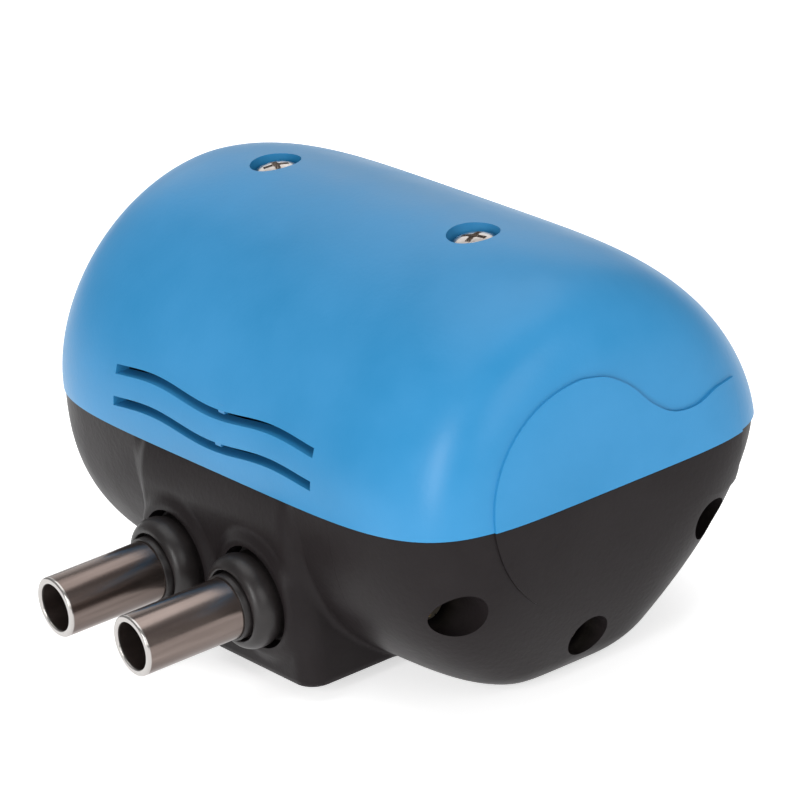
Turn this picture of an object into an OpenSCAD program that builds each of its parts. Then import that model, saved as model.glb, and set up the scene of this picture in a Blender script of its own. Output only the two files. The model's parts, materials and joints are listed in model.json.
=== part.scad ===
// Pneumatic milking pulsator: two diaphragms on one shaft work a main and a pilot slide valve.
// Millimetres, +Z up. The origin is the centre of the vacuum inlet's mouth, in the base plane.
// X runs through both end caps, and the two outlet tubes point along -Y.

/* [Housing] */
// Half the length over both end caps
half_len = 51.7; // [51:0.1:53]
// Half the width at the parting line
half_wid = 33; // [32.5:0.1:34]
// Height of the parting line above the base
part_z = 30.5; // [30:0.1:31.5]
// Height of the cover above the parting line
cover_h = 31; // [30.5:0.1:32]
// Squareness of the outline seen from above
plan_n = 5.2; // [5:0.1:5.6]
// Squareness of the cover's arch
arch_n = 1.85; // [1.8:0.05:1.95]
// Thickness of the cover
cover_t = 2.2; // [2:0.1:2.4]
// How far each end draws in from the parting line to the base
cup_taper = 11.7; // [11:0.1:12]
// How far the lower front draws in
front_taper = 18.3; // [17.5:0.1:18.5]
// How far the lower back draws in
back_taper = 17.8; // [17:0.1:18]
// Rounding where the end caps meet the base
base_r = 4.4; // [4:0.1:4.6]
// Distance from the centre to each end cap's seam
seam_x = 28; // [27.5:0.1:28.5]

/* [Centre block] */
// Half the width of the block that carries the outlet tubes
block_x = 20.3; // [19.6:0.1:20.6]
// Distance of the block's front face from the centre
block_front = 34.2; // [33.6:0.1:34.6]
// Height of the block's underside above the base
block_z = 2.2; // [1.8:0.1:2.6]
// Height of the valve tub's floor
floor_z = 20; // [19.8:0.1:20.2]
// Half the length of the valve tub
tub_x = 18.5; // [18.3:0.1:18.7]

/* [Tubes and inlet] */
// Outer radius of an outlet tube
tube_r = 4.5; // [4.4:0.05:4.6]
// Inner radius of an outlet tube
tube_bore = 3.5; // [3:0.1:3.6]
// Distance of each outlet tube from the middle
tube_x = 10; // [9.8:0.1:10.2]
// Height of the outlet tubes' axes
tube_z = 14.4; // [14:0.1:14.6]
// How far the tubes' tips stand from the centre
tube_tip = 55.6; // [52:0.1:60]
// Inner radius of the vacuum inlet's seal
inlet_r = 6; // [5:0.1:6.5]

/* [Motion] */
// Travel of the shaft each way
stroke = 4; // [3.5:0.1:4]
// Radius of the shaft
shaft_r = 3; // [2.8:0.1:3]

/* [Fasteners] */
// Distance of each cover screw from the middle
cover_screw_x = 24.3; // [24:0.1:24.6]
// Radius of an end cap screw's shank
cap_screw_r = 1.5; // [1.4:0.05:1.6]
// Radius of the recess over an end cap screw
cap_hole_r = 3.3; // [3.1:0.1:3.4]

/* [Hidden] */
$fn = 48;
fit = 0.05;
eps = 0.02;
// Where the diaphragm chambers and the flanges lie
axis_y = -2;
bead_r = 20.2;
chamber_r = 18.2;
chamber_end = 41;
sheet_t = 1.2;
flange_y = half_wid - 3.6;
flange_h = cover_h - 3.6;
flange_top = 25.4;
flange_end = seam_x + 4;
bush_r = 5;
// End cap screws: Y, and Z from the parting line
low_screws = [[-25.2, -11.8], [17.2, -12.1], [-3.4, -23.4]];
top_screws = [[-19.1, 15.5], [19.1, 15.5]];
low_seat = seam_x + 8.5;
screw_tip = 22;
cap_head_r = 2.8;
cap_head_h = 2.4;
// Cover screws, as heights above the parting line
cover_head_r = 3.25;
cover_seat = 28.6;
cover_head_h = 1.7;
cover_tip = 21;
cover_shank_r = 1.75;
insert_r = 2.6;
// Valve plate
gasket_t = 0.6;
plate_t = 1.4;
plate_x = 17.5;
plate_front = -10;
plate_back = 20;
plate_z = floor_z + gasket_t;
slide_z = plate_z + plate_t;
port_pitch = 8;
port_w = 4;
port_l = 8;
pilot_y = 13;
pilot_pitch = 4.5;
pilot_r = 0.9;
pilot_z = 9;
plate_screws = [[-15.5, -7.5], [15.5, -7.5], [-15.5, 17.5], [15.5, 17.5]];
plate_screw_r = 1.25;
// Tubes
collar_r = 7.2;
collar_front = 38.8;
recess_r = 7.6;
recess_y = block_front - 2;
tube_end = 24;
socket_r = tube_r - 0.5;
seal_r = 8;
seal_lip_r = 9.5;
seal_h = 10;
// Speed screw, along +Y in the back of the block
speed_z = 12;
speed_seat = 11;
speed_back = 26;
// Vents: two wavy slots in the cover's front
vent_half = 25;
vent_h = 1.3;
vent_wave = 0.5;
vent_pitch = 30;
vent_rows = [8.75, 4.25];

BLUE = [0.13, 0.5, 0.82];
BLACK = [0.16, 0.15, 0.15];
STEEL = [0.72, 0.7, 0.68];
BRASS = [0.78, 0.62, 0.3];
RUBBER = [0.07, 0.07, 0.07];

// Superellipse coordinate from a sine or cosine v and a squareness n
function se(v, n) = (v < 0 ? -1 : 1) * pow(abs(v), 2 / n);

// One arch of the dome, at angle f along its length
function arch(a, b, c, f, steps) = [
    for (i = [0:steps])
        let (t = 180 * i / steps, k = se(cos(f), plan_n))
            [a * se(sin(f), plan_n), -b * k * se(cos(t), arch_n), c * k * se(sin(t), arch_n)]
];

// Solid half superellipsoid on the XY plane
module dome(a, b, c, rings, steps) {
    m = steps + 1;
    last = m * (rings - 1) + 1;
    mids = [for (j = [1:rings - 1]) arch(a, b, c, -90 + 180 * j / rings, steps)];
    points = concat([[-a, 0, 0]], [for (r = mids) each r], [[a, 0, 0]]);
    sides = [
        for (j = [0:rings - 3], i = [0:steps - 1])
            let (p = 1 + j * m + i)
                each [[p, p + 1, p + 1 + m], [p, p + 1 + m, p + m]]
    ];
    near_end = [for (i = [0:steps - 1]) [0, 2 + i, 1 + i]];
    far_end = [for (i = [0:steps - 1]) [last, last - m + i, last - m + i + 1]];
    floor_face = concat(
        [0], [for (j = [0:rings - 2]) 1 + j * m], [last],
        [for (j = [rings - 2:-1:0]) 1 + j * m + steps]
    );
    polyhedron(points, concat(sides, near_end, far_end, [floor_face]));
}

// Outline of the housing's lower half at height z
function cup_ring(z, steps) =
    let (
        s = (part_z - z) / part_z,
        k = max(0, base_r - z),
        off = base_r - sqrt(base_r * base_r - k * k),
        a = half_len - cup_taper * s * s - off,
        front = half_wid - front_taper * pow(s, 3) - off,
        back = half_wid - back_taper * pow(s, 1.5) - off
    )
    [
        for (i = [0:steps - 1])
            let (t = 360 * i / steps, far = sin(t) > 0, n = plan_n + (far ? -2.8 : 1.8) * s)
                [a * se(cos(t), n), (far ? back : front) * se(sin(t), n), z]
    ];

// The housing's lower half as one solid
module cup(steps = 40, walls = 9, rounds = 4) {
    upper = [for (i = [0:walls]) part_z + (base_r - part_z) * i / walls];
    lower = [for (i = [1:rounds]) base_r * (1 - sin(90 * i / rounds))];
    levels = concat(upper, lower);
    last = len(levels) - 1;
    points = [for (z = levels) each cup_ring(z, steps)];
    sides = [
        for (k = [0:last - 1], i = [0:steps - 1])
            let (p = k * steps + i, q = k * steps + (i + 1) % steps)
                each [[p, q, q + steps], [p, q + steps, p + steps]]
    ];
    top = [[for (i = [steps - 1:-1:0]) i]];
    bottom = [[for (i = [0:steps - 1]) last * steps + i]];
    polyhedron(points, concat(top, sides, bottom));
}

// Places its children at both ends of the housing
module both_ends() {
    children();
    mirror([1, 0, 0]) children();
}

module along_x(x0, x1, r, y = axis_y, z = part_z) {
    translate([x0, y, z]) rotate([0, 90, 0]) cylinder(h = x1 - x0, r = r);
}

module along_y(y0, y1, r, x = 0, z = part_z) {
    translate([x, y1, z]) rotate([90, 0, 0]) cylinder(h = y1 - y0, r = r);
}

module upright(z0, z1, r, x = 0, y = 0) {
    translate([x, y, z0]) cylinder(h = z1 - z0, r = r);
}

module slab(x0, x1, y0, y1, z0, z1) {
    translate([x0, y0, z0]) cube([x1 - x0, y1 - y0, z1 - z0]);
}

// Upright block with round vertical edges
module rounded_slab(x0, x1, y0, y1, z0, z1, r) {
    translate([0, 0, z0]) linear_extrude(z1 - z0) {
        translate([x0 + r, y0]) square([x1 - x0 - 2 * r, y1 - y0]);
        translate([x0, y0 + r]) square([x1 - x0, y1 - y0 - 2 * r]);
        for (x = [x0 + r, x1 - r], y = [y0 + r, y1 - r]) {
            translate([x, y]) circle(r);
        }
    }
}

// Upper half of a flange, which fills the arch under the cover
module flange(x0, x1) {
    arc = [
        for (i = [0:32])
            let (t = 180 * i / 32)
                [flange_y * se(cos(t), arch_n), min(flange_top, flange_h * se(sin(t), arch_n))]
    ];
    translate([x0, 0, part_z]) rotate([90, 0, 90]) linear_extrude(x1 - x0) {
        polygon(concat([[flange_y, -1], each arc], [[-flange_y, -1]]));
    }
}

// Main housing -----------------------------------------------------------------------------

module block_outside() {
    rounded_slab(-block_x, block_x, -block_front, half_wid - 0.8, block_z, part_z - 3.5, 4);
    rounded_slab(-block_x, block_x, 1.6 - block_front, half_wid - 0.8, part_z - 4, part_z, 3);
    rounded_slab(-17, 17, -24, 24, block_z - 0.5, block_z + 1, 2);
    upright(0, block_z + 1, 11);
}

module body_flanges() {
    both_ends() {
        intersection() {
            cup();
            slab(tub_x, seam_x, -half_wid, half_wid, 0, part_z);
        }
        flange(tub_x, seam_x);
    }
}

module body_hollows() {
    rounded_slab(-tub_x, tub_x, -30, 30, floor_z, part_z + 30, 2);
    both_ends() {
        along_x(tub_x - 1, screw_tip, bush_r);
        along_x(seam_x - 6.5, seam_x + 1, chamber_r);
        along_x(seam_x - sheet_t / 2, seam_x + 1, bead_r);
        along_x(pilot_pitch, seam_x + 1, pilot_r, pilot_y, pilot_z);
        for (p = concat(low_screws, top_screws)) {
            along_x(screw_tip, seam_x + 1, cap_screw_r, p[0], part_z + p[1]);
        }
        upright(part_z + cover_tip, part_z + 30, insert_r, cover_screw_x);
        upright(pilot_z, floor_z + 1, pilot_r, pilot_pitch, pilot_y);
        outlet_way();
    }
}

// From an outlet tube's socket to its port
module outlet_way() {
    along_y(-block_front - 1, -recess_y, recess_r, tube_x, tube_z);
    along_y(-recess_y - 1, -tube_end, socket_r, tube_x, tube_z);
    along_y(-tube_end - 1, port_l / 2, tube_bore, tube_x, tube_z);
    slab(port_pitch - port_w / 2, port_pitch + port_w / 2, -port_l / 2, port_l / 2, tube_z, floor_z + 1);
}

module inlet_way() {
    upright(-1, 1.5, seal_lip_r);
    upright(-1, seal_h, seal_r);
    upright(seal_h - 1, floor_z - 1.6, 4.5);
    slab(-port_w / 2, port_w / 2, -port_l / 2, port_l / 2, floor_z - 2, floor_z + 1);
}

module speed_screw_way() {
    along_y(3, speed_seat + 1, 0.8, 0, speed_z);
    along_y(speed_seat, speed_back, 2 + fit, 0, speed_z);
    along_y(speed_back - 2, speed_back + 1, 3.15, 0, speed_z);
    along_y(speed_back, half_wid + 1, 4.3, 0, speed_z);
    upright(speed_z, floor_z + 1, pilot_r, 0, pilot_y);
}

module main_body() {
    color(BLACK) difference() {
        union() {
            block_outside();
            body_flanges();
        }
        body_hollows();
        inlet_way();
        speed_screw_way();
        for (p = plate_screws) {
            upright(14, floor_z + 1, plate_screw_r, p[0], p[1]);
        }
    }
}

module end_cap() {
    color(BLACK) difference() {
        union() {
            intersection() {
                cup();
                slab(seam_x, half_len + 1, -half_wid, half_wid, 0, part_z);
            }
            flange(seam_x, flange_end);
            intersection() {
                along_x(seam_x, chamber_end + 2.5, bead_r);
                slab(seam_x, half_len, -half_wid, half_wid, part_z - 1, part_z + cover_h);
            }
        }
        along_x(seam_x - 1, seam_x + sheet_t / 2, bead_r);
        along_x(seam_x - 1, chamber_end, chamber_r);
        along_x(seam_x - 1, 36, pilot_r, pilot_y, pilot_z);
        upright(pilot_z, pilot_z + 13, pilot_r, 36 - pilot_r, pilot_y);
        for (p = low_screws) {
            along_x(seam_x - 1, low_seat + 1, cap_screw_r, p[0], part_z + p[1]);
            along_x(low_seat, half_len + 1, cap_hole_r, p[0], part_z + p[1]);
        }
        for (p = top_screws) {
            along_x(seam_x - 1, flange_end + 1, cap_screw_r, p[0], part_z + p[1]);
        }
    }
}

module end_cap_right() {
    end_cap();
}

module end_cap_left() {
    mirror([1, 0, 0]) end_cap();
}

// Cover ------------------------------------------------------------------------------------

// One wavy vent slot, centred at height row over the parting line
module vent(row) {
    xs = [for (i = [-5:5]) vent_half * i / 5];
    mid = [for (x = xs) row - vent_wave * cos(360 * x / vent_pitch)];
    upper = [for (i = [0:10]) [xs[i], mid[i] + vent_h / 2]];
    lower = [for (i = [10:-1:0]) [xs[i], mid[i] - vent_h / 2]];
    translate([0, -24, part_z]) rotate([90, 0, 0]) linear_extrude(12) polygon(concat(upper, lower));
}

module top_cover() {
    t = cover_t;
    color(BLUE) difference() {
        union() {
            difference() {
                translate([0, 0, part_z]) dome(half_len, half_wid, cover_h, 36, 24);
                translate([0, 0, part_z - eps]) dome(half_len - t, half_wid - t, cover_h - t, 28, 18);
            }
            both_ends() upright(part_z + flange_top, part_z + 29.5, 5.5, cover_screw_x);
        }
        both_ends() {
            upright(part_z + cover_seat, part_z + cover_h + 1, 3.8, cover_screw_x);
            upright(part_z + flange_top - 1, part_z + cover_h, cover_shank_r, cover_screw_x);
        }
        for (row = vent_rows) {
            vent(row);
        }
    }
}

module cover_screws() {
    seat = part_z + cover_seat;
    color(STEEL) both_ends() difference() {
        union() {
            upright(seat, seat + cover_head_h, cover_head_r, cover_screw_x);
            upright(part_z + cover_tip, seat + eps, cover_shank_r, cover_screw_x);
        }
        for (turn = [0, 90]) {
            translate([cover_screw_x, 0, seat + cover_head_h]) rotate([0, 0, turn]) {
                cube([4, 0.9, 2], center = true);
            }
        }
    }
}

module cover_inserts() {
    color(BRASS) both_ends() difference() {
        upright(part_z + cover_tip, part_z + flange_top, insert_r, cover_screw_x);
        upright(part_z, part_z + cover_h, cover_shank_r, cover_screw_x);
    }
}

// End cap screws ---------------------------------------------------------------------------

module cap_screw(p, seat) {
    difference() {
        union() {
            along_x(seat, seat + cap_head_h, cap_head_r, p[0], part_z + p[1]);
            along_x(screw_tip, seat + eps, cap_screw_r, p[0], part_z + p[1]);
        }
        translate([seat + cap_head_h, p[0], part_z + p[1]]) cube([1.8, 0.9, 5], center = true);
    }
}

module cap_screws() {
    color(STEEL) {
        for (p = low_screws) {
            cap_screw(p, low_seat);
        }
        for (p = top_screws) {
            cap_screw(p, flange_end);
        }
    }
}

module cap_screws_right() {
    cap_screws();
}

module cap_screws_left() {
    mirror([1, 0, 0]) cap_screws();
}

// Diaphragms and shaft ---------------------------------------------------------------------

shaft_end_r = 2.5;
plate_r = 10;
inner_plate_t = 1.5;
outer_plate_t = 1.5;
nut_t = 3.2;
shoulder_x = seam_x - sheet_t / 2 - inner_plate_t;
shaft_end = seam_x + sheet_t / 2 + outer_plate_t + nut_t + 1.3;
roll_r = 15;

// Sheet with one outward roll between its clamped rim and its plates
module diaphragm() {
    color(RUBBER) translate([seam_x - sheet_t / 2, axis_y, part_z]) rotate([0, 90, 0]) rotate_extrude() {
        difference() {
            union() {
                translate([shaft_end_r, 0]) square([bead_r - shaft_end_r, sheet_t]);
                intersection() {
                    translate([roll_r, sheet_t]) circle(2.6);
                    translate([roll_r - 3, sheet_t - eps]) square([6, 3]);
                }
            }
            translate([roll_r, 0]) circle(2);
        }
    }
}

module diaphragm_right() {
    diaphragm();
}

module diaphragm_left() {
    mirror([1, 0, 0]) diaphragm();
}

module ring_x(x0, x1, r, bore) {
    difference() {
        along_x(x0, x1, r);
        along_x(x0 - 1, x1 + 1, bore);
    }
}

module inner_plate() {
    color(STEEL) ring_x(shoulder_x, shoulder_x + inner_plate_t, plate_r, shaft_end_r);
}

module outer_plate() {
    x = seam_x + sheet_t / 2;
    color(STEEL) ring_x(x, x + outer_plate_t, plate_r, shaft_end_r);
}

module shaft_nut() {
    x = seam_x + sheet_t / 2 + outer_plate_t;
    color(BRASS) difference() {
        translate([x, axis_y, part_z]) rotate([0, 90, 0]) cylinder(h = nut_t, r = 4.6, $fn = 6);
        along_x(x - 1, x + nut_t + 1, shaft_end_r);
    }
}

module inner_plate_right() {
    inner_plate();
}

module inner_plate_left() {
    mirror([1, 0, 0]) inner_plate();
}

module outer_plate_right() {
    outer_plate();
}

module outer_plate_left() {
    mirror([1, 0, 0]) outer_plate();
}

module shaft_nut_right() {
    shaft_nut();
}

module shaft_nut_left() {
    mirror([1, 0, 0]) shaft_nut();
}

module drive_shaft() {
    color(STEEL) union() {
        along_x(-shoulder_x, shoulder_x, shaft_r);
        along_x(-shaft_end, shaft_end, shaft_end_r);
    }
}

module shaft_bush() {
    color(BRASS) difference() {
        union() {
            along_x(tub_x, seam_x - 6.5, bush_r);
            along_x(tub_x - 1.2, tub_x, bush_r + 1.2);
        }
        along_x(tub_x - 2, seam_x, shaft_r + fit);
    }
}

module shaft_bush_right() {
    shaft_bush();
}

module shaft_bush_left() {
    mirror([1, 0, 0]) shaft_bush();
}

// Valves -----------------------------------------------------------------------------------

module plate_outline(z0, z1) {
    difference() {
        rounded_slab(-plate_x, plate_x, plate_front, plate_back, z0, z1, 2);
        for (x = [-port_pitch, 0, port_pitch]) {
            slab(x - port_w / 2, x + port_w / 2, -port_l / 2, port_l / 2, z0 - 1, z1 + 1);
        }
        for (x = [-pilot_pitch, 0, pilot_pitch]) {
            upright(z0 - 1, z1 + 1, pilot_r, x, pilot_y);
        }
        for (p = plate_screws) {
            upright(z0 - 1, z1 + 1, plate_screw_r, p[0], p[1]);
        }
    }
}

module port_gasket() {
    color(RUBBER) plate_outline(floor_z, plate_z);
}

module port_plate() {
    color(STEEL) plate_outline(plate_z, slide_z);
}

module port_plate_screws() {
    color(STEEL) for (p = plate_screws) {
        difference() {
            union() {
                upright(slide_z, slide_z + 1.4, 2.2, p[0], p[1]);
                upright(14, slide_z + eps, plate_screw_r, p[0], p[1]);
            }
            translate([p[0], p[1], slide_z + 1.4]) cube([3.4, 0.7, 1.4], center = true);
        }
    }
}

// The slide's hollow joins the middle port to the port on the side that it has moved to
module main_slide_valve() {
    color("dimgray") difference() {
        slab(-8, 8, -6.5, 6.5, slide_z, slide_z + 4.6);
        slab(-6, 6, -4.5, 4.5, slide_z - 1, slide_z + 2.6);
    }
}

module pilot_slide_valve() {
    color("dimgray") difference() {
        slab(-6.4, 6.4, pilot_y - 4, pilot_y + 4, slide_z, slide_z + 3.6);
        slab(-3.9, 3.9, pilot_y - 2, pilot_y + 2, slide_z - 1, slide_z + 1.8);
    }
}

// Saddle fixed on the shaft: its arms push both slides, and leave the pilot slide some play
module valve_yoke() {
    arm_z = slide_z + 1.8;
    color("white") difference() {
        union() {
            slab(-10.1, 10.1, axis_y - 5, 5, part_z + 3.6, part_z + 5.6);
            both_ends() {
                slab(8.1, 10.1, axis_y - 5, 5, arm_z, part_z + 4);
                slab(8.1, 10.1, 4, pilot_y + 4, arm_z, part_z);
                slab(7.5, 10.1, pilot_y - 4, pilot_y + 4, arm_z, slide_z + 5);
            }
        }
        along_x(-11, 11, shaft_r);
    }
}

// Tubes, inlet, filter and speed screw -----------------------------------------------------

module outlet_tube() {
    color(STEEL) translate([tube_x, -tube_end, tube_z]) rotate([90, 0, 0]) rotate_extrude() {
        tip = tube_tip - tube_end;
        step = collar_front - tube_end;
        polygon([
            [tube_bore, 0], [socket_r, 0], [socket_r, step], [tube_r, step],
            [tube_r, tip - 0.4], [tube_r - 0.4, tip], [tube_bore + 0.2, tip], [tube_bore, tip - 0.2]
        ]);
    }
}

module outlet_tube_right() {
    outlet_tube();
}

module outlet_tube_left() {
    mirror([1, 0, 0]) outlet_tube();
}

// Grommet round the tube: a flange that fills the recess, a waist, and a rounded ring with a groove at its mouth
module tube_collar() {
    nose = 1.5;
    ring_r = 7;
    waist_r = 5.9;
    flange_len = 0.8;
    ring_start = 3.4;
    len = collar_front - recess_y;
    bore = socket_r + fit;
    color(RUBBER) translate([tube_x, -recess_y, tube_z]) rotate([90, 0, 0]) rotate_extrude() {
        difference() {
            union() {
                translate([bore, 0]) square([collar_r - bore, flange_len]);
                translate([bore, 0]) square([waist_r - bore, len - nose]);
                translate([bore, ring_start + nose]) square([ring_r - bore, len - ring_start - 2 * nose]);
                translate([bore, ring_start]) square([ring_r - nose - bore, len - ring_start]);
                translate([ring_r - nose, len - nose]) circle(nose);
                translate([ring_r - nose, ring_start + nose]) circle(nose);
            }
            translate([0, len - 2]) square([tube_r + 0.7, 3]);
        }
    }
}

module tube_collar_right() {
    tube_collar();
}

module tube_collar_left() {
    mirror([1, 0, 0]) tube_collar();
}

module inlet_seal() {
    color(RUBBER) difference() {
        union() {
            upright(0, seal_h, seal_r);
            upright(0, 1.5, seal_lip_r);
        }
        upright(-1, seal_h + 1, inlet_r);
    }
}

module air_filter() {
    color("gray") rounded_slab(-tub_x, tub_x, -24, 24, part_z + 7.5, part_z + 13.5, 1);
}

module speed_screw() {
    head = speed_back + 0.3;
    color(BRASS) difference() {
        union() {
            along_y(17, head + 0.1, 2, 0, speed_z);
            along_y(head, head + 4, 3.9, 0, speed_z);
            translate([0, 17, speed_z]) rotate([90, 0, 0]) cylinder(h = 6.5, r1 = 2, r2 = 0.5);
        }
        translate([0, head + 4, speed_z]) cube([8, 2.4, 1], center = true);
    }
}

module speed_screw_seal() {
    color(RUBBER) translate([0, speed_back - 1, speed_z]) rotate([90, 0, 0]) rotate_extrude() {
        translate([2.55, 0]) circle(0.55);
    }
}

main_body();
top_cover();
cover_screws();
cover_inserts();
end_cap_left();
end_cap_right();
cap_screws_left();
cap_screws_right();
diaphragm_left();
diaphragm_right();
outlet_tube_left();
outlet_tube_right();
tube_collar_left();
tube_collar_right();
inlet_seal();
port_gasket();
port_plate();
port_plate_screws();
shaft_bush_left();
shaft_bush_right();
air_filter();
drive_shaft();
inner_plate_left();
inner_plate_right();
outer_plate_left();
outer_plate_right();
shaft_nut_left();
shaft_nut_right();
valve_yoke();
main_slide_valve();
pilot_slide_valve();
speed_screw();
speed_screw_seal();
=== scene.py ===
import json
import math

import bmesh
import bpy
import numpy as np
from mathutils import Matrix, Vector


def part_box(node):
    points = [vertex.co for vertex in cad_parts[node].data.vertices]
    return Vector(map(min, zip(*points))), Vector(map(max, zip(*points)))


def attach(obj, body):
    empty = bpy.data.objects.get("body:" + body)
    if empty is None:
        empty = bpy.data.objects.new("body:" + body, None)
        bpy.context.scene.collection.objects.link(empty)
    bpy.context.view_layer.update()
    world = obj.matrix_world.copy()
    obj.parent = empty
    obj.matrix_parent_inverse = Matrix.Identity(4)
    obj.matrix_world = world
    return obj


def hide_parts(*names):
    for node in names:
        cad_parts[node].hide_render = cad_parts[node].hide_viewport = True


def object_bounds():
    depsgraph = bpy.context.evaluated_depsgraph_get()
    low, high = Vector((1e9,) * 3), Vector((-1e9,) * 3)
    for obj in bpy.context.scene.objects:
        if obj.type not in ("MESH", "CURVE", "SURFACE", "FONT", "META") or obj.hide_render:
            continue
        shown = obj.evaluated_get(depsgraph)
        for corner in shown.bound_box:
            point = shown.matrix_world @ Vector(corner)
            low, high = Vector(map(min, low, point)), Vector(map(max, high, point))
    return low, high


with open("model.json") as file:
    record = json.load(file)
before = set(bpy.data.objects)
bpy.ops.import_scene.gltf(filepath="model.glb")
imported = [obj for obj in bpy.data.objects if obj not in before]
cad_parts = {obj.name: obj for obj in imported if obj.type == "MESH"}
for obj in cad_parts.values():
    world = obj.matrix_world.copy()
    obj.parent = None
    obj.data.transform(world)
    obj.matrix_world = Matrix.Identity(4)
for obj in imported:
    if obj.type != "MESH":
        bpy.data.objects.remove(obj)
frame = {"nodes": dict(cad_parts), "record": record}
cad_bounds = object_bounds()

# Everything below is worked out in millimetres, in the frame's own axes, and made in metres.
MM = 0.001
HOME = "housing"
SOLVER = "MANIFOLD"


def box_mm(node):
    low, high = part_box(node)
    return [v / MM for v in low], [v / MM for v in high]


# Sizes read from the frame -------------------------------------------------------------------
cover_low, cover_high = box_mm("top_cover")
body_low, body_high = box_mm("main_body")
tube_low, tube_high = box_mm("outlet_tube_right")
collar_low, collar_high = box_mm("tube_collar_right")
HALF_LEN, HALF_WID = cover_high[0], cover_high[1]
PART_Z = cover_low[2]
COVER_H = cover_high[2] - PART_Z
SEAM_X = body_high[0]
BLOCK_FRONT = -body_low[1]
BLOCK_BACK = HALF_WID - 0.8
TUBE_X = (tube_low[0] + tube_high[0]) / 2
TUBE_Z = (tube_low[2] + tube_high[2]) / 2
TUBE_R = (tube_high[0] - tube_low[0]) / 2
TUBE_TIP = -tube_low[1]
COLLAR_FRONT = -collar_low[1]
COLLAR_R = (collar_high[0] - collar_low[0]) / 2
RECESS_Y = -collar_high[1]

# Shape of the housing ------------------------------------------------------------------------
PLAN_N = 5.2
ARCH_N = 1.85
COVER_T = 2.2
CUP_TAPER = 11.5
FRONT_TAPER = 18.1
BACK_TAPER = 17.6
BASE_R = 4.4
BLOCK_X = 20.3
BLOCK_Z = 2.2
TUB_X = 18.5
FLOOR_Z = 20.0
INSET = 0.2
SEAM_GAP = 0.01
LINE_GAP = 0.14
PANEL_STEP = 0.42
AXIS_Y = -2.0
CHAMBER_R = 18.2
BEAD_R = 20.2
SHEET_T = 1.2
CHAMBER_END = 41.0
FLANGE_TOP = 25.4
RECESS_R = 7.6
BOSS_H = 0.5
SOCKET_R = TUBE_R - 0.5
TUBE_BORE = 3.5
LOW_SCREWS = ((-25.2, -11.8), (17.2, -12.1), (-3.4, -23.4))
TOP_SCREWS = ((-19.1, 15.5), (19.1, 15.5))
CAP_HOLE_R = 3.3
LOW_SEAT = SEAM_X + 8.5
CAP_SCREW_R = 1.5
COVER_SCREW_X = 24.3
COVER_SEAT = 28.6
COVER_RECESS_R = 3.8
COVER_POST_R = 5.5
COVER_SCREW_R = 1.75
SCREW_HEAD_R = 3.15
SHAFT_BORE_R = 5.0
TUBE_END = 24.0
PORT_X = 8.0
SEAL_LIP_R, SEAL_R, INLET_R = 9.5, 8.0, 4.5
SPEED_Z = 12.0
SPEED_BORE_R, SPEED_SEAL_R, SPEED_HEAD_R = 2.05, 3.15, 4.3
PLATE_SCREW_X, PLATE_SCREW_Y, PLATE_SCREW_R = 15.5, (-7.5, 17.5), 1.25
VENT_HALF = 25.0
VENT_H = 1.35
VENT_WAVE = 30.0
VENT_ROWS = (8.75, 4.25)
VENT_FACE = {row: HALF_WID * (1 - (row / COVER_H) ** ARCH_N) ** (1 / ARCH_N) for row in VENT_ROWS}
FAR = 40.0
NET_STEP = 0.75


# Mesh helpers --------------------------------------------------------------------------------
def make_object(name, points, faces):
    mesh = bpy.data.meshes.new(name)
    mesh.from_pydata([tuple(p) for p in np.asarray(points, float) * MM], [], faces)
    mesh.update()
    obj = bpy.data.objects.new(name, mesh)
    bpy.context.scene.collection.objects.link(obj)
    return obj


def se(v, n):
    return np.sign(v) * np.abs(v) ** (2 / n)


def cutter(obj):
    """Marks a helper solid, which is deleted after its boolean."""
    obj.hide_render = True
    return obj


def boolean(obj, others, operation):
    """Applies one boolean with several helper solids, and deletes them."""
    for other in others:
        mod = obj.modifiers.new("cut", "BOOLEAN")
        mod.operation = operation
        mod.solver = SOLVER
        mod.object = other
    mesh = bpy.data.meshes.new_from_object(obj.evaluated_get(bpy.context.evaluated_depsgraph_get()))
    obj.modifiers.clear()
    old = obj.data
    obj.data = mesh
    bpy.data.meshes.remove(old)
    for other in others:
        bpy.data.objects.remove(other)
    return obj


def prism(name, outline, start, end, axis):
    """Solid from a closed outline, run along an axis: the outline's pairs are the other two axes in order."""
    n = len(outline)
    points = []
    for h in (start, end):
        for p, q in outline:
            points.append({"x": (h, p, q), "y": (p, h, q), "z": (p, q, h)}[axis])
    sides = [(i, (i + 1) % n, n + (i + 1) % n, n + i) for i in range(n)]
    obj = make_object(name, points, sides + [tuple(range(n - 1, -1, -1)), tuple(range(n, 2 * n))])
    fix_normals(obj)
    return cutter(obj)


def fix_normals(obj):
    """Turns every face outwards on a closed solid."""
    bm = bmesh.new()
    bm.from_mesh(obj.data)
    bmesh.ops.recalc_face_normals(bm, faces=bm.faces)
    bm.to_mesh(obj.data)
    bm.free()


def circle(r, cx=0.0, cy=0.0, steps=64):
    return [(cx + r * math.cos(2 * math.pi * i / steps), cy + r * math.sin(2 * math.pi * i / steps))
            for i in range(steps)]


def rod(r, start, end, axis, p=0.0, q=0.0, steps=64):
    return prism("rod", circle(r, p, q, steps), start, end, axis)


def slab(x0, x1, y0, y1, z0, z1):
    return prism("slab", [(x0, y0), (x1, y0), (x1, y1), (x0, y1)], z0, z1, "z")


def arc(cx, cy, r, a0, a1, steps=6):
    """Points of an arc, in degrees."""
    return [(cx + r * math.cos(math.radians(a0 + (a1 - a0) * i / steps)),
             cy + r * math.sin(math.radians(a0 + (a1 - a0) * i / steps))) for i in range(steps + 1)]


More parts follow.
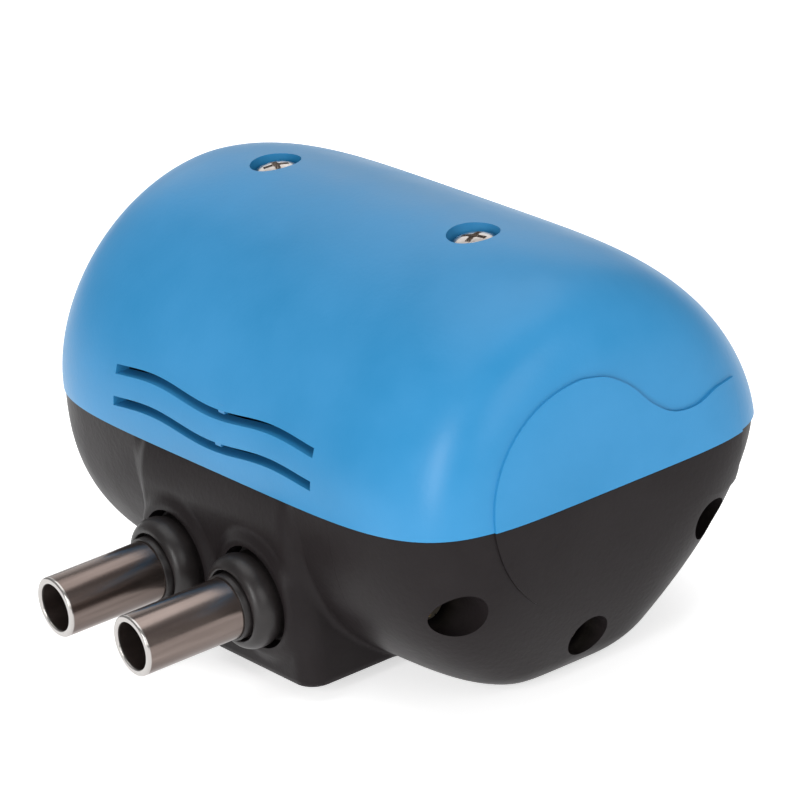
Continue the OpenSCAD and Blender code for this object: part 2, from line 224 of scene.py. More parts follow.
def lathe(name, profile, origin, direction, segments=96):
    """Closed ring or plug turned from (radius, height) points; height runs along direction from origin."""
    axis = Vector(direction).normalized()
    side = axis.orthogonal().normalized()
    other = axis.cross(side)
    points, faces = [], []
    n = len(profile)
    for i in range(segments):
        a = 2 * math.pi * i / segments
        out = side * math.cos(a) + other * math.sin(a)
        points += [Vector(origin) + out * r + axis * h for r, h in profile]
    for i in range(segments):
        j = (i + 1) % segments
        for k in range(n):
            m = (k + 1) % n
            if profile[k][0] > 0 or profile[m][0] > 0:
                faces.append((i * n + k, i * n + m, j * n + m, j * n + k))
    obj = make_object(name, points, faces)
    merge_doubles(obj)
    fix_normals(obj)
    return obj


def merge_doubles(obj):
    bm = bmesh.new()
    bm.from_mesh(obj.data)
    bmesh.ops.remove_doubles(bm, verts=bm.verts, dist=1e-7)
    bmesh.ops.dissolve_degenerate(bm, edges=bm.edges, dist=1e-8)
    bm.to_mesh(obj.data)
    bm.free()


def shade(obj, fields=(), angle=32, tolerance=0.03):
    """Smooth shading with crisp edges. A vertex on a surface of one of the fields takes its normal."""
    mesh = obj.data
    mesh.shade_smooth()
    mesh.set_sharp_from_angle(angle=math.radians(angle))
    if not fields:
        return obj
    count = len(mesh.loops)
    loop_vert = np.empty(count, int)
    mesh.loops.foreach_get("vertex_index", loop_vert)
    co = np.empty(len(mesh.vertices) * 3)
    mesh.vertices.foreach_get("co", co)
    co = co.reshape(-1, 3) / MM
    start = np.empty(len(mesh.polygons), int)
    total = np.empty(len(mesh.polygons), int)
    mesh.polygons.foreach_get("loop_start", start)
    mesh.polygons.foreach_get("loop_total", total)
    flat = np.empty(len(mesh.polygons) * 3)
    mesh.polygons.foreach_get("normal", flat)
    face_normal = np.empty((count, 3))
    order = np.repeat(np.arange(len(start)), total)
    places = np.concatenate([np.arange(s, s + t) for s, t in zip(start, total)])
    face_normal[places] = flat.reshape(-1, 3)[order]
    normals = np.array([n.vector[:] for n in mesh.corner_normals])
    for field in fields:
        value = field(co[:, 0], co[:, 1], co[:, 2])
        grad = gradient(field, co)
        length = np.linalg.norm(grad, axis=1)
        near = np.abs(value) < tolerance * np.maximum(length, 1e-9)
        unit = grad / np.maximum(length, 1e-9)[:, None]
        loop_unit = unit[loop_vert]
        use = near[loop_vert] & (np.einsum("ij,ij->i", loop_unit, face_normal) > 0.86)
        normals[use] = loop_unit[use]
    mesh.normals_split_custom_set([tuple(n) for n in normals])
    return obj


def gradient(field, co, step=0.02):
    out = np.empty_like(co)
    for i in range(3):
        a, b = co.copy(), co.copy()
        a[:, i] += step
        b[:, i] -= step
        out[:, i] = (field(a[:, 0], a[:, 1], a[:, 2]) - field(b[:, 0], b[:, 1], b[:, 2])) / (2 * step)
    return out


# Fields: negative inside, and for the housing roughly the distance in millimetres ---------------
def meet(a, b, r):
    """Both solids, with their shared edge rounded by r."""
    return np.minimum(-r, np.maximum(a, b)) + np.hypot(np.maximum(a + r, 0), np.maximum(b + r, 0))


def join(a, b, r):
    """Either solid, with the corner between them filled by r."""
    return np.maximum(r, np.minimum(a, b)) - np.hypot(np.maximum(r - a, 0), np.maximum(r - b, 0))


def cup_field(x, y, z):
    s = np.clip((PART_Z - z) / PART_Z, 0, 1)
    far = y > 0
    a = HALF_LEN - INSET - CUP_TAPER * s ** 2
    b = HALF_WID - INSET - np.where(far, BACK_TAPER * s ** 1.5, FRONT_TAPER * s ** 3)
    n = PLAN_N + np.where(far, -2.8, 1.8) * s
    u = np.abs(x) / a + 1e-6
    v = np.abs(y) / b + 1e-6
    g = (u ** n + v ** n) ** (1 / n)
    slope = np.hypot(u ** (n - 1) / a, v ** (n - 1) / b) * g ** (1 - n)
    return (g - 1) / slope


def block_field(x, y, z):
    lean = 1.5 * np.clip((z - 25.0) / 5.5, 0, 1) ** 1.5
    ends = np.maximum(-y - (BLOCK_FRONT - lean), y - BLOCK_BACK)
    column = meet(np.abs(x) - BLOCK_X, ends, 3.6)
    pad = np.maximum(np.maximum(np.abs(x) - 17, np.abs(y) - 24), BLOCK_Z - 0.5 - z)
    return np.minimum(meet(column, BLOCK_Z - z, 0.9), meet(pad, z - 10, 0.1))


def boss_field(x, y, z):
    """Low swellings of the wall round both outlet recesses."""
    ring = np.hypot(np.abs(x) - TUBE_X, z - TUBE_Z) - RECESS_R - 0.9
    return meet(ring, np.maximum(-BLOCK_FRONT - BOSS_H - y, y + 20), 0.5)


def housing_field(x, y, z):
    """Outside of the black housing, as one solid that runs on past the parting line."""
    cups = meet(meet(cup_field(x, y, z), -z, BASE_R), TUB_X - np.abs(x), 2.0)
    boss = meet(np.hypot(x, y) - 11, -z, 0.8)
    block = join(block_field(x, y, z), boss_field(x, y, z), 2.0)
    solid = join(join(block, cups, 1.3), np.maximum(boss, z - 10), 0.8)
    return np.maximum(solid, z - PART_Z - 1.6)


def cover_field(x, y, z):
    g = (np.abs(y) / HALF_WID) ** ARCH_N + (np.abs(z - PART_Z) / COVER_H) ** ARCH_N
    return ((np.abs(x) / HALF_LEN) ** PLAN_N + g ** (PLAN_N / ARCH_N)) ** (1 / PLAN_N) - 1


def pushed_out(field):
    """The same surface moved outwards along X at both ends by the raised panel's height."""
    return lambda x, y, z: field(x - np.sign(x) * PANEL_STEP, y, z)


def surface_net(name, field, low, high, step):
    """Closed mesh of a field's surface: one vertex in each cell that it crosses, drawn onto the surface."""
    axes = [np.arange(low[i], high[i] + step, step) for i in range(3)]
    value = field(*np.meshgrid(*axes, indexing="ij"))
    inside = value < 0
    shape = [len(a) - 1 for a in axes]
    corners = [(i, j, k) for i in (0, 1) for j in (0, 1) for k in (0, 1)]

    def part(array, c):
        return array[c[0]:c[0] + shape[0], c[1]:c[1] + shape[1], c[2]:c[2] + shape[2]]

    full = sum(part(inside, c).astype(int) for c in corners)
    cells = np.argwhere((full > 0) & (full < 8))
    index = -np.ones(shape, int)
    index[tuple(cells.T)] = np.arange(len(cells))
    points = np.zeros((len(cells), 3))
    count = np.zeros(len(cells))
    for a in corners:
        for b in corners:
            if sum(b) - sum(a) != 1 or any(q < p for p, q in zip(a, b)):
                continue
            va = value[tuple((cells + a).T)]
            vb = value[tuple((cells + b).T)]
            crossed = (va < 0) != (vb < 0)
            t = np.where(crossed, va / np.where(va == vb, 1, va - vb), 0)
            where = cells + np.array(a) + t[:, None] * (np.array(b) - np.array(a))
            points += where * crossed[:, None]
            count += crossed
    points = points / count[:, None] * step + np.array(low)
    for _ in range(3):
        grad = gradient(field, points)
        v = field(points[:, 0], points[:, 1], points[:, 2])
        move = (v / np.maximum((grad ** 2).sum(1), 1e-6))[:, None] * grad
        points -= np.clip(move, -0.4 * step, 0.4 * step)
    faces = []
    for axis in range(3):
        p, q = (axis + 1) % 3, (axis + 2) % 3
        low_side = [slice(None)] * 3
        high_side = [slice(None)] * 3
        low_side[axis] = slice(0, -1)
        high_side[axis] = slice(1, None)
        first, second = inside[tuple(low_side)], inside[tuple(high_side)]
        for outward, hits in ((True, first & ~second), (False, second & ~first)):
            at = np.argwhere(hits)
            at = at[(at[:, p] > 0) & (at[:, q] > 0) & (at[:, p] < shape[p]) & (at[:, q] < shape[q])]
            quad = []
            for dp, dq in ((1, 1), (0, 1), (0, 0), (1, 0)):
                c = at.copy()
                c[:, p] -= dp
                c[:, q] -= dq
                quad.append(index[tuple(c.T)])
            quad = np.stack(quad, 1)
            faces.append(quad if outward else quad[:, ::-1])
    return make_object(name, points, [tuple(f) for f in np.concatenate(faces).tolist()])


# Housing -------------------------------------------------------------------------------------
def curve_through(knots, steps=8):
    """Catmull-Rom curve through a few points."""
    k = [np.array(p, float) for p in [knots[0], *knots, knots[-1]]]
    out = []
    for i in range(1, len(k) - 2):
        for j in range(steps):
            t = j / steps
            out.append(0.5 * (2 * k[i] + (k[i + 1] - k[i - 1]) * t
                              + (2 * k[i - 1] - 5 * k[i] + 4 * k[i + 1] - k[i + 2]) * t ** 2
                              + (3 * k[i] - k[i - 1] - 3 * k[i + 1] + k[i + 2]) * t ** 3))
    out.append(k[-2])
    return [tuple(p) for p in out]


def panel_outline():
    """Raised panel on each end: a disc with a wavy tail to the back, as Y and Z from the parting line."""
    disc = arc(-3.7, 0, 16.9, 180, 92, 24)
    tail = [(-3.7, 16.9), (0.3, 15.9), (3.9, 13.3), (6.9, 9.9),
            (10.4, 7.5), (14.6, 7.0), (18.6, 8.0), (22.6, 8.0)]
    upper = disc + curve_through(tail)
    lower = [(y, -z) for y, z in upper[:0:-1]]
    return upper + lower


def panel_tool(side, low, high):
    """Prism over the panel at one end, between two heights."""
    outline = [(y, PART_Z + z) for y, z in panel_outline()]
    x0, x1 = sorted((side * 36.0, side * (HALF_LEN + 3)))
    tool = prism("panel", outline, x0, x1, "x")
    return boolean(tool, [slab(x0 - 1, x1 + 1, -FAR, FAR, low, high)], "INTERSECT")


def shifted(obj, dx):
    copy = obj.copy()
    copy.data = obj.data.copy()
    copy.data.transform(Matrix.Translation((dx * MM, 0, 0)))
    bpy.context.scene.collection.objects.link(copy)
    return copy


def flange_tool(x0, x1):
    """Upper half of a flange, which fills the arch under the cover."""
    y_half, z_half = HALF_WID - 3.6, COVER_H - 3.6
    arc_points = []
    for i in range(49):
        t = math.pi * i / 48
        z = min(FLANGE_TOP, z_half * float(se(np.sin(t), ARCH_N)))
        arc_points.append((y_half * float(se(np.cos(t), ARCH_N)), PART_Z + z))
    outline = [(y_half, PART_Z - 1)] + arc_points + [(-y_half, PART_Z - 1)]
    return prism("flange", outline, x0, x1, "x")


def housing_blank():
    reach = 1.5
    blank = surface_net("housing_blank", housing_field,
                        (-HALF_LEN - reach, -BLOCK_FRONT - reach, -reach),
                        (HALF_LEN + reach, HALF_WID + reach, PART_Z + 3.2), NET_STEP)
    raised = []
    for side in (-1, 1):
        block = boolean(shifted(blank, side * PANEL_STEP), [panel_tool(side, -1, PART_Z + 2)], "INTERSECT")
        raised.append(block)
    return boolean(blank, raised, "UNION")


def end_rod(side, r, x0, x1, y=AXIS_Y, z=PART_Z, steps=64):
    """Rod along X in one end of the housing, between two distances from the middle."""
    a, b = sorted((side * x0, side * x1))
    return rod(r, a, b, "x", y, z, steps)


def cap_cutters(side):
    """Hollows of one end cap, and its screw holes."""
    cuts = [end_rod(side, BEAD_R, SEAM_X - 1, SEAM_X + SHEET_T / 2, steps=96),
            end_rod(side, CHAMBER_R, SEAM_X - 1, CHAMBER_END, steps=96)]
    for y, z in LOW_SCREWS:
        cuts.append(end_rod(side, CAP_SCREW_R, SEAM_X - 1, LOW_SEAT + 1, y, PART_Z + z))
        cuts.append(end_rod(side, CAP_HOLE_R, LOW_SEAT, HALF_LEN + 3, y, PART_Z + z))
    for y, z in TOP_SCREWS:
        cuts.append(end_rod(side, CAP_SCREW_R, SEAM_X - 1, SEAM_X + 6, y, PART_Z + z))
    return cuts


def end_cap(blank, side, name):
    cap = shifted(blank, 0)
    cap.name = name
    x0, x1 = sorted((side * (SEAM_X + SEAM_GAP), side * (HALF_LEN + 3)))
    boolean(cap, [slab(x0, x1, -FAR, FAR, -1, PART_Z - LINE_GAP)], "INTERSECT")
    f0, f1 = sorted((side * (SEAM_X + SEAM_GAP), side * (SEAM_X + 4)))
    d0, d1 = sorted((side * (SEAM_X + SEAM_GAP), side * (CHAMBER_END + 2.5)))
    upper_half = slab(-HALF_LEN - FAR, HALF_LEN + FAR, -FAR, FAR, PART_Z - 1, PART_Z + FAR)
    dome = boolean(rod(BEAD_R, d0, d1, "x", AXIS_Y, PART_Z, 96), [upper_half], "INTERSECT")
    boolean(cap, [flange_tool(f0, f1), dome], "UNION")
    boolean(cap, cap_cutters(side), "DIFFERENCE")
    cap.hide_render = False
    return shade(cap, [housing_field, pushed_out(housing_field)])


def side_cutters(side):
    """Shaft bore, chamber, screw holes, outlet and air passages of one half of the main body."""
    cuts = [end_rod(side, SHAFT_BORE_R, TUB_X - 1, TUB_X + 4),
            end_rod(side, CHAMBER_R, SEAM_X - 6.5, SEAM_X + 1, steps=96),
            end_rod(side, BEAD_R, SEAM_X - SHEET_T / 2, SEAM_X + 1, steps=96)]
    for y, z in LOW_SCREWS + TOP_SCREWS:
        cuts.append(end_rod(side, CAP_SCREW_R, 22, SEAM_X + 1, y, PART_Z + z))
    x = side * TUBE_X
    cuts.append(rod(RECESS_R, -BLOCK_FRONT - 2, -RECESS_Y, "y", x, TUBE_Z, 96))
    cuts.append(rod(SOCKET_R, -RECESS_Y - 1, -TUBE_END, "y", x, TUBE_Z))
    cuts.append(rod(TUBE_BORE, -TUBE_END - 1, 4, "y", x, TUBE_Z))
    cuts.append(slab(side * PORT_X - 2, side * PORT_X + 2, -4, 4, TUBE_Z, FLOOR_Z + 1))
    cuts.append(rod(2.6, PART_Z + 21, PART_Z + FAR, "z", side * COVER_SCREW_X, 0))
    cuts.append(rod(0.9, 9, FLOOR_Z + 1, "z", side * 4.5, 13))
    return cuts


def body_cutters():
    """Everything cut out of the main body: tub, both halves' holes, inlet, speed screw and plate screws."""
    cuts = [slab(-TUB_X, TUB_X, -30, 30, FLOOR_Z, PART_Z + FAR)]
    for side in (-1, 1):
        cuts += side_cutters(side)
    cuts.append(rod(SEAL_LIP_R, -1, 1.5, "z"))
    cuts.append(rod(SEAL_R, -1, 10, "z"))
    cuts.append(rod(INLET_R, 9, FLOOR_Z - 1.6, "z"))
    cuts.append(slab(-2, 2, -4, 4, FLOOR_Z - 2, FLOOR_Z + 1))
    cuts.append(rod(SPEED_BORE_R, 11, 27, "y", 0, SPEED_Z))
    cuts.append(rod(SPEED_SEAL_R, 24, 27, "y", 0, SPEED_Z))
    cuts.append(rod(SPEED_HEAD_R, 26, FAR, "y", 0, SPEED_Z))
    for x in (-PLATE_SCREW_X, PLATE_SCREW_X):
        for y in PLATE_SCREW_Y:
            cuts.append(rod(PLATE_SCREW_R, 14, FLOOR_Z + 1, "z", x, y))
    return cuts


def main_body(blank):
    body = shifted(blank, 0)
    body.name = "body_shell"
    inner = SEAM_X - SEAM_GAP
    boolean(body, [slab(-inner, inner, -FAR, FAR, -1, PART_Z - LINE_GAP)], "INTERSECT")
    boolean(body, [flange_tool(-inner, -TUB_X + 0.01), flange_tool(TUB_X - 0.01, inner)], "UNION")
    boolean(body, body_cutters(), "DIFFERENCE")
    body.hide_render = False
    return shade(body, [housing_field])


# Cover ---------------------------------------------------------------------------------------
def dome_surface(a, b, c, rings, steps):
    """Half superellipsoid: its points, its faces and the loop round its open edge."""
    points = [(-a, 0, 0)]
    for j in range(1, rings):
        f = -math.pi / 2 + math.pi * j / rings
        x = a * se(np.sin(f), PLAN_N)
        k = se(np.cos(f), PLAN_N)
        t = np.pi * np.arange(steps + 1) / steps
        y = -b * k * se(np.cos(t), ARCH_N)
        z = c * k * se(np.abs(np.sin(t)), ARCH_N)
        points += [(x, p, q) for p, q in zip(y, z)]
    points.append((a, 0, 0))
    m, last = steps + 1, (rings - 1) * (steps + 1) + 1
    faces = []
    for j in range(rings - 2):
        for i in range(steps):
            p = 1 + j * m + i
            faces.append((p, p + m, p + m + 1, p + 1))
    faces += [(0, 1 + i, 2 + i) for i in range(steps)]
    faces += [(last, last - m + i + 1, last - m + i) for i in range(steps)]
    loop = [0] + [1 + j * m for j in range(rings - 1)] + [last]
    loop += [1 + j * m + steps for j in range(rings - 2, -1, -1)]
    return [(x, y, z + PART_Z) for x, y, z in points], faces, loop


def cover_solid():
    points, faces, loop = dome_surface(HALF_LEN, HALF_WID, COVER_H, 160, 120)
    return make_object("cover_solid", points, faces + [tuple(loop[::-1])])


def cover_inside():
    t = COVER_T
    points, faces, loop = dome_surface(HALF_LEN - t, HALF_WID - t, COVER_H - t, 72, 48)
    obj = make_object("cover_inside", points, faces + [tuple(loop[::-1])])
    obj.data.transform(Matrix.Translation((0, 0, -0.02 * MM)))
    return obj


def vent_mid(x, row):
    return PART_Z + row - 0.5 * math.cos(2 * math.pi * x / VENT_WAVE)


def vent_tool(row):
    xs = [VENT_HALF * i / 30 for i in range(-30, 31)]
    upper = [(x, vent_mid(x, row) + VENT_H / 2) for x in xs]
    lower = [(x, vent_mid(x, row) - VENT_H / 2) for x in reversed(xs)]
    return prism("vent", upper + lower, -36, -24, "y")


def vent_bridge(row):
    """Short tie across the upper part of a slot, set back from the outside."""
    z = vent_mid(1.9, row) + 0.25
    return slab(1.2, 2.7, -VENT_FACE[row] + 0.35, -28.8, z - 0.15, z + 1.2)


def cover():
    shell = cover_solid()
    shell.name = "cover_shell"
    raised = [boolean(shifted(shell, side * PANEL_STEP), [panel_tool(side, PART_Z, PART_Z + 30)], "INTERSECT")
              for side in (-1, 1)]
    boolean(shell, raised, "UNION")
    boolean(shell, [cover_inside()], "DIFFERENCE")
    posts = [rod(COVER_POST_R, PART_Z + FLANGE_TOP, PART_Z + 29.5, "z", side * COVER_SCREW_X, 0)
             for side in (-1, 1)]
    boolean(shell, posts, "UNION")
    cuts = [vent_tool(row) for row in VENT_ROWS]
    for side in (-1, 1):
        cuts.append(rod(COVER_RECESS_R, PART_Z + COVER_SEAT, PART_Z + FAR, "z", side * COVER_SCREW_X, 0))
        cuts.append(rod(COVER_SCREW_R, PART_Z + FLANGE_TOP - 1, PART_Z + FAR, "z", side * COVER_SCREW_X, 0))
    boolean(shell, cuts, "DIFFERENCE")
    boolean(shell, [vent_bridge(row) for row in VENT_ROWS], "UNION")
    return shade(shell, [cover_field, pushed_out(cover_field)])


# Turned pieces -------------------------------------------------------------------------------
def outlet_tube(side, name):
    shoulder = COLLAR_FRONT - TUBE_END
    length = TUBE_TIP - TUBE_END
    rim = 0.35
    profile = [(TUBE_BORE, 0), (SOCKET_R, 0), (SOCKET_R, shoulder), (TUBE_R, shoulder + 0.1)]
    profile += arc(TUBE_R - rim, length - rim, rim, 0, 90)
    profile += arc(TUBE_BORE + 0.25, length - 0.25, 0.25, 90, 180)
    obj = lathe(name, profile, (side * TUBE_X, -TUBE_END, TUBE_Z), (0, -1, 0), 128)
    return shade(obj, angle=40)


def tube_collar(side, name):
    length = COLLAR_FRONT - RECESS_Y
    bore, mouth = SOCKET_R + 0.05, TUBE_R + 0.75
    ring, waist, nose, bell = 7.0, 6.5, 1.5, 2.3
    profile = [(bore, 0), (COLLAR_R, 0)] + arc(COLLAR_R - 0.2, 0.6, 0.2, 0, 90, 3) + [(waist + 0.3, 0.8)]
    profile += arc(waist + 0.35, 1.15, 0.35, 270, 180, 4)
    for degrees in range(-45, 91, 9):
        turn = math.radians(degrees)
        profile.append((ring - nose + nose * math.cos(turn), length - bell + bell * math.sin(turn)))
    profile += arc(mouth + 0.25, length - 0.25, 0.25, 90, 180, 3)
    profile += [(mouth, length - 2), (TUBE_R + 0.35, length - 2)]
    profile += arc(TUBE_R + 0.2, length + 0.75, 0.15, 0, 90, 3) + [(TUBE_R + 0.04, length + 0.9)]
    profile += [(TUBE_R + 0.04, length - 2.2), (bore, length - 2.2)]
    obj = lathe(name, profile, (side * TUBE_X, -RECESS_Y, TUBE_Z), (0, -1, 0), 96)
    return shade(obj, angle=40)


def cover_screws():
    """Two pan-head cross-recess screws, as one piece with two solids."""
    seat = PART_Z + COVER_SEAT
    made = []
    for side in (-1, 1):
        x = side * COVER_SCREW_X
        profile = [(0, -7.6), (COVER_SCREW_R, -7.6), (COVER_SCREW_R, 0), (SCREW_HEAD_R - 0.2, 0)]
        profile += [(SCREW_HEAD_R, 0.25), (SCREW_HEAD_R, 0.75)]
        profile += [(SCREW_HEAD_R * math.cos(math.radians(a)), 0.75 + 0.95 * math.sin(math.radians(a)))
                    for a in range(10, 90, 10)] + [(0, 1.7)]
        screw = lathe("screw", profile, (x, 0, seat), (0, 0, 1), 64)
        turn = 25 if side > 0 else 70
        cuts = []
        for quarter in (0, 90):
            a = math.radians(turn + quarter)
            u, v = (math.cos(a), math.sin(a)), (-math.sin(a), math.cos(a))
            outline = [(x + s * 1.9 * u[0] + w * 0.42 * v[0], s * 1.9 * u[1] + w * 0.42 * v[1])
                       for s, w in ((-1, -1), (1, -1), (1, 1), (-1, 1))]
            cuts.append(prism("cross", outline, seat + 0.55, seat + 3, "z"))
        cuts.append(rod(0.75, seat + 0.3, seat + 3, "z", x, 0, 24))
        boolean(screw, cuts, "DIFFERENCE")
        made.append(screw)
    return shade(joined("cover_screw_pair", made), angle=30)


def joined(name, objs):
    """One object from several, each still its own closed solid."""
    points, faces = [], []
    for obj in objs:
        base = len(points)
        points += [v.co / MM for v in obj.data.vertices]
        faces += [tuple(base + i for i in p.vertices) for p in obj.data.polygons]
        bpy.data.objects.remove(obj)
    return make_object(name, points, faces)


# Materials -----------------------------------------------------------------------------------
def new_material(name, color, roughness, metallic=0.0, specular=0.5):
    mat = bpy.data.materials.new(name)
    mat.use_nodes = True
    shader = mat.node_tree.nodes["Principled BSDF"]
    shader.inputs["Base Color"].default_value = (*color, 1)
    shader.inputs["Roughness"].default_value = roughness
    shader.inputs["Metallic"].default_value = metallic
    shader.inputs["Specular IOR Level"].default_value = specular
    return mat, mat.node_tree.nodes, mat.node_tree.links, shader


def noise(nodes, links, scale, detail=3.0, rough=0.5, stretch=(1, 1, 1)):
    coords = nodes.new("ShaderNodeTexCoord")
    mapping = nodes.new("ShaderNodeMapping")
    mapping.inputs["Scale"].default_value = stretch
    tex = nodes.new("ShaderNodeTexNoise")
    tex.inputs["Scale"].default_value = scale
    tex.inputs["Detail"].default_value = detail
    tex.inputs["Roughness"].default_value = rough
    links.new(coords.outputs["Object"], mapping.inputs["Vector"])
    links.new(mapping.outputs["Vector"], tex.inputs["Vector"])
    return tex.outputs["Fac"]


def tint(nodes, links, shader, fac, dark, light, low=0.35, high=0.65):
    ramp = nodes.new("ShaderNodeValToRGB")
    ramp.color_ramp.elements[0].position = low
    ramp.color_ramp.elements[1].position = high
    ramp.color_ramp.elements[0].color = (*dark, 1)
    ramp.color_ramp.elements[1].color = (*light, 1)
    links.new(fac, ramp.inputs["Fac"])
    links.new(ramp.outputs["Color"], shader.inputs["Base Color"])


def vary_roughness(nodes, links, shader, fac, low, high):
    ranger = nodes.new("ShaderNodeMapRange")
    ranger.inputs["From Min"].default_value = 0.3
    ranger.inputs["From Max"].default_value = 0.7
    ranger.inputs["To Min"].default_value = low
    ranger.inputs["To Max"].default_value = high
    links.new(fac, ranger.inputs["Value"])
    links.new(ranger.outputs["Result"], shader.inputs["Roughness"])


def add_bump(nodes, links, shader, heights, distance):
    """Bumps chained one after another: heights is a list of (factor, strength)."""
    last = None
    for fac, strength in heights:
        bump = nodes.new("ShaderNodeBump")
        bump.inputs["Strength"].default_value = strength
        bump.inputs["Distance"].default_value = distance
        links.new(fac, bump.inputs["Height"])
        if last:
            links.new(last.outputs["Normal"], bump.inputs["Normal"])
        last = bump
    links.new(last.outputs["Normal"], shader.inputs["Normal"])


def cover_plastic():
    mat, nodes, links, shader = new_material("cover_plastic", (0.04, 0.28, 0.60), 0.36, 0, 0.26)
    cloud = noise(nodes, links, 45, 4, 0.6)
    tint(nodes, links, shader, cloud, (0.021, 0.206, 0.430), (0.036, 0.238, 0.484), 0.3, 0.7)
    vary_roughness(nodes, links, shader, noise(nodes, links, 90, 3), 0.33, 0.42)
    waves = (noise(nodes, links, 60, 2), 0.10)
    grain = (noise(nodes, links, 1500, 2), 0.05)
    add_bump(nodes, links, shader, [waves, grain], 0.0004)
    return mat


def body_plastic():
    mat, nodes, links, shader = new_material("body_plastic", (0.014, 0.0115, 0.012), 0.44, 0, 0.10)
    cloud = noise(nodes, links, 60, 4, 0.6)
    tint(nodes, links, shader, cloud, (0.0115, 0.0090, 0.0095), (0.0155, 0.0128, 0.0134))
    vary_roughness(nodes, links, shader, noise(nodes, links, 120, 3), 0.38, 0.48)
    waves = (noise(nodes, links, 70, 2), 0.10)
    grain = (noise(nodes, links, 1200, 2), 0.10)
    add_bump(nodes, links, shader, [waves, grain], 0.0004)
    return mat


def metal(name, dark, light, low, high, stretch=(1, 1, 1), scale=400, strength=0.06, rim=None):
    """Metal with fine grain. With rim, what lies beyond that distance along -Y gets a lighter base colour: a
    painted highlight for the bright reflection on the tube's end.
    """
    mat, nodes, links, shader = new_material(name, light, low, 0.9 if rim else 1.0)
    fac = noise(nodes, links, scale, 3, 0.55, stretch)
    tint(nodes, links, shader, fac, dark, light)
    # Painted highlight: the tube's rounded end and end face get a lighter base colour, standing in for the
    # reflection that makes that edge look bright.
    if rim:
        coords = nodes.new("ShaderNodeTexCoord")
        split = nodes.new("ShaderNodeSeparateXYZ")
        reach = nodes.new("ShaderNodeMapRange")
        reach.inputs["From Min"].default_value = -(rim - 0.15) * MM
        reach.inputs["From Max"].default_value = -(rim + 0.05) * MM
        rim_highlight_mix = nodes.new("ShaderNodeMix")
        rim_highlight_mix.data_type = "RGBA"
        links.new(coords.outputs["Object"], split.inputs["Vector"])
        links.new(split.outputs["Y"], reach.inputs["Value"])
        links.new(reach.outputs["Result"], rim_highlight_mix.inputs["Factor"])
        links.new(shader.inputs["Base Color"].links[0].from_socket, rim_highlight_mix.inputs["A"])
        # Lighter colour of the painted highlight on the tube's end.
        rim_highlight_mix.inputs["B"].default_value = (0.42, 0.40, 0.385, 1)
        links.new(rim_highlight_mix.outputs["Result"], shader.inputs["Base Color"])
    vary_roughness(nodes, links, shader, noise(nodes, links, scale * 1.7, 2, 0.5, stretch), low, high)
    add_bump(nodes, links, shader, [(fac, strength)], 0.0002)
    return mat


def dull(name, dark, light, roughness, scale=300, strength=0.2, specular=0.5):
    """Rubber, foam and plain plastics."""
    mat, nodes, links, shader = new_material(name, light, roughness, 0, specular)
    tint(nodes, links, shader, noise(nodes, links, scale, 4), dark, light)
    add_bump(nodes, links, shader, [(noise(nodes, links, scale * 3, 3), strength)], 0.0003)
    return mat


materials = {
    "cover_plastic": cover_plastic(),
    "body_plastic": body_plastic(),
    # The tube's end carries a painted highlight in its base colour (rim).
    "polished_tube": metal("polished_tube", (0.115, 0.088, 0.078), (0.200, 0.160, 0.144), 0.14, 0.26,
                           (1, 0.06, 1), rim=TUBE_TIP - 0.35),
    "stainless_screw": metal("stainless_screw", (0.55, 0.50, 0.47), (0.72, 0.67, 0.63), 0.22, 0.34),
    "zinc_screw": metal("zinc_screw", (0.50, 0.44, 0.34), (0.66, 0.60, 0.48), 0.25, 0.38),
    "brass": metal("brass", (0.55, 0.38, 0.14), (0.70, 0.52, 0.22), 0.24, 0.36),
    "stainless_plate": metal("stainless_plate", (0.52, 0.51, 0.49), (0.66, 0.65, 0.63), 0.22, 0.34,
                             (0.05, 1, 1)),
    "diaphragm_rubber": dull("diaphragm_rubber", (0.012, 0.012, 0.012), (0.02, 0.02, 0.02), 0.7),
    "collar_rubber": dull("collar_rubber", (0.012, 0.010, 0.010), (0.018, 0.015, 0.015), 0.38,
                          300, 0.08, 0.35),
    "foam": dull("foam", (0.03, 0.03, 0.032), (0.09, 0.09, 0.095), 0.95, 900, 1.0),
    "yoke_plastic": dull("yoke_plastic", (0.62, 0.61, 0.56), (0.70, 0.69, 0.64), 0.45, 100, 0.05),
    "slide_plastic": dull("slide_plastic", (0.05, 0.05, 0.055), (0.08, 0.08, 0.085), 0.5, 100, 0.05),
}


def paint(obj, slot_name):
    obj.data.materials.clear()
    obj.data.materials.append(materials[slot_name])


def finish_piece(obj, slot_name, *nodes):
    obj.hide_render = False
    paint(obj, slot_name)
    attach(obj, HOME)
    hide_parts(*nodes)


def dress_cad_nodes():
    """Gives each CAD node that stays its slot's material."""
    for row in frame["record"]["subparts"]:
        obj = frame["nodes"][row["node"]]
        for place in obj.material_slots:
            place.link = "OBJECT"
            place.material = materials[row["material_slot"]]


# Camera, lights and floor --------------------------------------------------------------------
def make_camera():
    azimuth, elevation, roll = math.radians(57.19), math.radians(21.78), math.radians(-7.77)
    back = Vector((math.sin(azimuth) * math.cos(elevation), -math.cos(azimuth) * math.cos(elevation),
                   math.sin(elevation)))
    right = Vector((math.cos(azimuth), math.sin(azimuth), 0))
    up = back.cross(right)
    tilted_right = right * math.cos(roll) + up * math.sin(roll)
    tilted_up = up * math.cos(roll) - right * math.sin(roll)
    target = Vector((0.18, -0.05, PART_Z - 0.54)) * MM
    data = bpy.data.cameras.new("camera")
    data.sensor_width = 36
    data.lens = 238.5
    data.clip_start, data.clip_end = 0.05, 20
    cam = bpy.data.objects.new("camera", data)
    place = Matrix((tilted_right, tilted_up, back)).transposed().to_4x4()
    place.translation = target + back * 0.7609
    cam.matrix_world = place
    bpy.context.scene.collection.objects.link(cam)
    bpy.context.scene.camera = cam


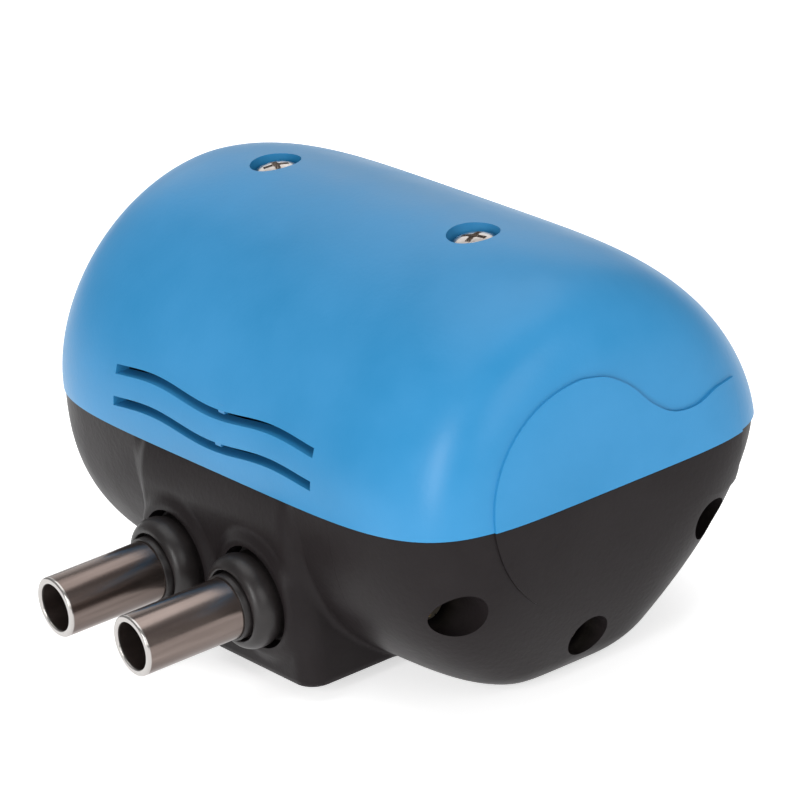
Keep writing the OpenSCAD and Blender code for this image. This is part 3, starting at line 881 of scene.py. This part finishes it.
def area_light(name, location, power, size, color=(1, 1, 1), aim=(0, 0, 0.03)):
    data = bpy.data.lights.new(name, "AREA")
    data.shape = "RECTANGLE"
    data.size, data.size_y = size
    data.energy = power
    data.color = color
    obj = bpy.data.objects.new(name, data)
    obj.location = location
    obj.rotation_mode = "QUATERNION"
    obj.rotation_quaternion = (Vector(location) - Vector(aim)).to_track_quat("Z", "Y")
    bpy.context.scene.collection.objects.link(obj)
    return obj


def make_studio():
    world = bpy.data.worlds.new("studio")
    world.use_nodes = True
    world.node_tree.nodes["Background"].inputs["Color"].default_value = (1, 1, 1, 1)
    world.node_tree.nodes["Background"].inputs["Strength"].default_value = 0.35
    bpy.context.scene.world = world
    area_light("strip", (0.39, -0.76, 0.30), 4.0, (0.18, 0.5))
    area_light("end", (0.85, -0.05, 0.4), 2.2, (0.5, 0.5))
    area_light("top", (-0.1, 0.05, 0.95), 5.0, (0.9, 0.9))
    area_light("behind", (-0.75, 0.5, 0.45), 1.4, (0.9, 0.6))
    size = 6.0
    floor = make_object("floor", [(-size / MM, -size / MM, 0), (size / MM, -size / MM, 0),
                                  (size / MM, size / MM, 0), (-size / MM, size / MM, 0)], [(0, 1, 2, 3)])
    floor.location.z = cad_bounds[0].z - 0.0001
    mat, nodes, links, shader = new_material("floor", (0.93, 0.93, 0.93), 0.7, 0, 0.2)
    shader.inputs["Emission Color"].default_value = (1, 1, 1, 1)
    shader.inputs["Emission Strength"].default_value = 0.6
    tint(nodes, links, shader, noise(nodes, links, 2, 2), (0.92, 0.92, 0.92), (0.94, 0.94, 0.94))
    floor.data.materials.append(mat)
    bpy.context.scene.view_settings.view_transform = "Standard"


# Build ---------------------------------------------------------------------------------------
dress_cad_nodes()
blank = cutter(housing_blank())
finish_piece(main_body(blank), "body_plastic", "main_body")
finish_piece(end_cap(blank, 1, "cap_shell_right"), "body_plastic", "end_cap_right")
finish_piece(end_cap(blank, -1, "cap_shell_left"), "body_plastic", "end_cap_left")
bpy.data.objects.remove(blank)
finish_piece(cover(), "cover_plastic", "top_cover")
finish_piece(cover_screws(), "stainless_screw", "cover_screws")
for side, word in ((-1, "left"), (1, "right")):
    finish_piece(outlet_tube(side, "pulse_tube_" + word), "polished_tube", "outlet_tube_" + word)
    finish_piece(tube_collar(side, "tube_grommet_" + word), "collar_rubber", "tube_collar_" + word)

make_camera()
make_studio()
bpy.context.view_layer.update()
